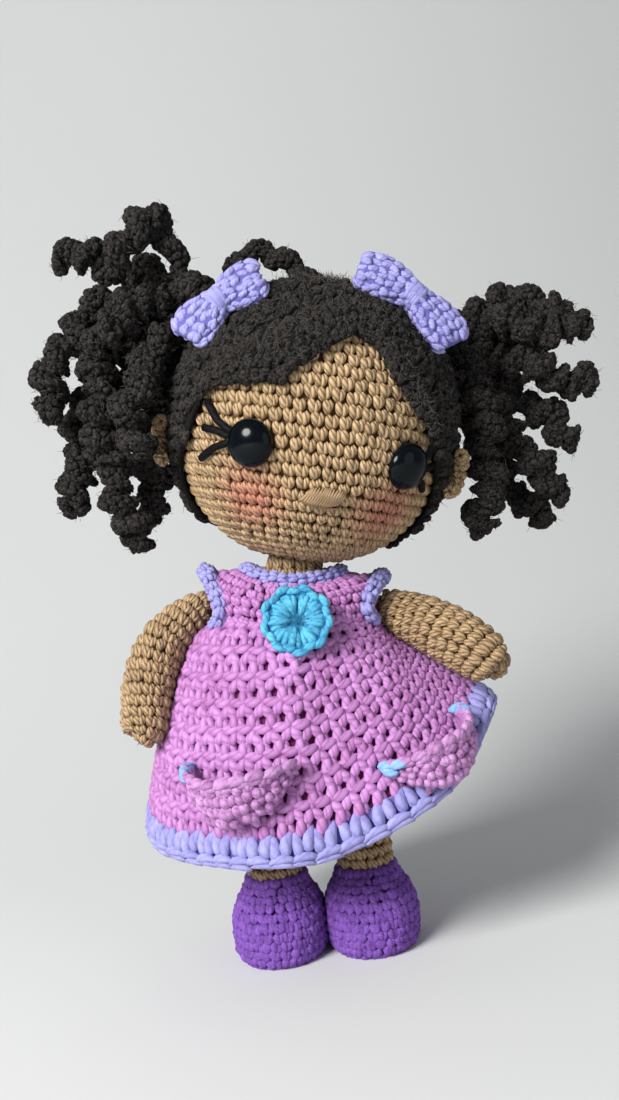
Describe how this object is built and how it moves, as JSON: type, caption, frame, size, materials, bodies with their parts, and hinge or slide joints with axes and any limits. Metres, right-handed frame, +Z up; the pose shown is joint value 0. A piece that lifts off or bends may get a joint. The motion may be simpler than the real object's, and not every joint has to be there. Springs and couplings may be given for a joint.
{
  "type": "crocheted doll",
  "caption": "Crocheted amigurumi girl doll on flat soles: stuffed head, body and limbs, bunches of corkscrew curls with bows, and a flared dress with patch pockets.",
  "frame": {"origin": "middle of the bounding box, on the plane of the shoe soles", "axes": "+Z up, the doll faces -Y, +X is the doll's own left"},
  "size_m": [0.1516, 0.0802, 0.1992],
  "materials": {
    "aqua_yarn": "crocheted cotton yarn, matt",
    "core_felt": "rolled felt",
    "eye_plastic": "glossy black dome",
    "hair_tie_yarn": "crocheted cotton yarn, matt",
    "hair_yarn": "crocheted cotton yarn, matt",
    "lash_yarn": "crocheted cotton yarn, matt",
    "lavender_yarn": "crocheted cotton yarn, matt",
    "pink_yarn": "crocheted cotton yarn, matt",
    "pocket_yarn": "crocheted cotton yarn, matt",
    "purple_yarn": "crocheted cotton yarn, matt",
    "seam_yarn": "crocheted cotton yarn, matt",
    "skin_yarn": "crocheted cotton yarn, matt",
    "stuffing": "loose polyester fibre",
    "washer_plastic": "moulded, matt"
  },
  "bodies": {
    "torso": {"torso_shell": "skin_yarn", "torso_stuffing": "stuffing", "dress": "pink_yarn", "neckline_trim": "lavender_yarn", "sleeve_trim_right": "lavender_yarn", "sleeve_trim_left": "lavender_yarn", "hem_trim": "lavender_yarn", "pocket_right": "pocket_yarn", "pocket_left": "pocket_yarn", "rosette": "aqua_yarn"},
    "neck": {"neck_core": "core_felt"},
    "neck_ring": {"neck_seam": "seam_yarn"},
    "head": {"head_shell": "skin_yarn", "head_stuffing": "stuffing", "eye_right": "eye_plastic", "eye_left": "eye_plastic", "eye_washer_right": "washer_plastic", "eye_washer_left": "washer_plastic", "lashes_right": "lash_yarn", "lashes_left": "lash_yarn", "nose": "skin_yarn", "ear_right": "skin_yarn", "ear_left": "skin_yarn", "hair_cap": "hair_yarn", "fringe_right": "hair_yarn", "fringe_left": "hair_yarn", "bow_right": "lavender_yarn", "bow_left": "lavender_yarn", "curl_crown": "hair_yarn"},
    "shoulder_right": {"shoulder_seam_right": "seam_yarn"},
    "shoulder_left": {"shoulder_seam_left": "seam_yarn"},
    "arm_right": {"arm_right": "skin_yarn", "arm_right_stuffing": "stuffing"},
    "arm_left": {"arm_left": "skin_yarn", "arm_left_stuffing": "stuffing"},
    "leg_right": {"leg_right": "skin_yarn", "leg_right_stuffing": "stuffing", "shoe_right": "purple_yarn"},
    "leg_left": {"leg_left": "skin_yarn", "leg_left_stuffing": "stuffing", "shoe_left": "purple_yarn"},
    "pigtail_right": {"hair_tie_right": "hair_tie_yarn", "curl_right_1": "hair_yarn", "curl_right_2": "hair_yarn", "curl_right_3": "hair_yarn", "curl_right_4": "hair_yarn", "curl_right_5": "hair_yarn", "curl_right_6": "hair_yarn", "curl_right_7": "hair_yarn", "curl_right_8": "hair_yarn"},
    "pigtail_left": {"hair_tie_left": "hair_tie_yarn", "curl_left_1": "hair_yarn", "curl_left_2": "hair_yarn", "curl_left_3": "hair_yarn", "curl_left_4": "hair_yarn", "curl_left_5": "hair_yarn", "curl_left_6": "hair_yarn", "curl_left_7": "hair_yarn", "curl_left_8": "hair_yarn"}
  },
  "joints": [
    {"name": "neck_turn", "type": "hinge", "parent": "torso", "child": "neck", "pos_m": [-0.01051, 0.00266, 0.106], "axis": [0.1736, 0, 0.9848], "range_deg": [-30, 10], "stiffness_Nm_per_rad": 0.3},
    {"name": "neck_tilt", "type": "hinge", "parent": "neck", "child": "neck_ring", "pos_m": [-0.01051, 0.00266, 0.106], "axis": [0, 1, 0], "range_deg": [-16, 2], "stiffness_Nm_per_rad": 0.3},
    {"name": "neck_nod", "type": "hinge", "parent": "neck_ring", "child": "head", "pos_m": [-0.01051, 0.00266, 0.106], "axis": [1, 0, 0], "range_deg": [-10, 5], "stiffness_Nm_per_rad": 0.3},
    {"name": "shoulder_right_swing", "type": "hinge", "parent": "torso", "child": "shoulder_right", "pos_m": [-0.03695, 0.00266, 0.09466], "axis": [-1, 0, 0], "range_deg": [0, 50]},
    {"name": "shoulder_right_lift", "type": "hinge", "parent": "shoulder_right", "child": "arm_right", "pos_m": [-0.03695, 0.00266, 0.09466], "axis": [0, 1, 0], "range_deg": [0, 55]},
    {"name": "shoulder_left_swing", "type": "hinge", "parent": "torso", "child": "shoulder_left", "pos_m": [0.01246, 0.00266, 0.09034], "axis": [-1, 0, 0], "range_deg": [0, 50]},
    {"name": "shoulder_left_lift", "type": "hinge", "parent": "shoulder_left", "child": "arm_left", "pos_m": [0.01246, 0.00266, 0.09034], "axis": [0, -1, 0], "range_deg": [0, 30]},
    {"name": "hip_right", "type": "hinge", "parent": "torso", "child": "leg_right", "pos_m": [-0.02559, 0.00266, 0.0383], "axis": [-1, 0, 0], "range_deg": [-20, 35], "stiffness_Nm_per_rad": 0.18},
    {"name": "hip_left", "type": "hinge", "parent": "torso", "child": "leg_left", "pos_m": [-0.00079, 0.00266, 0.0383], "axis": [-1, 0, 0], "range_deg": [-20, 35], "stiffness_Nm_per_rad": 0.18},
    {"name": "pigtail_right_lift", "type": "hinge", "parent": "head", "child": "pigtail_right", "pos_m": [-0.02979, -0.00195, 0.17773], "axis": [0, 1, 0], "range_deg": [0, 12]},
    {"name": "pigtail_left_lift", "type": "hinge", "parent": "head", "child": "pigtail_left", "pos_m": [0.03898, 0.01312, 0.16059], "axis": [0, -1, 0], "range_deg": [0, 12]}
  ]
}
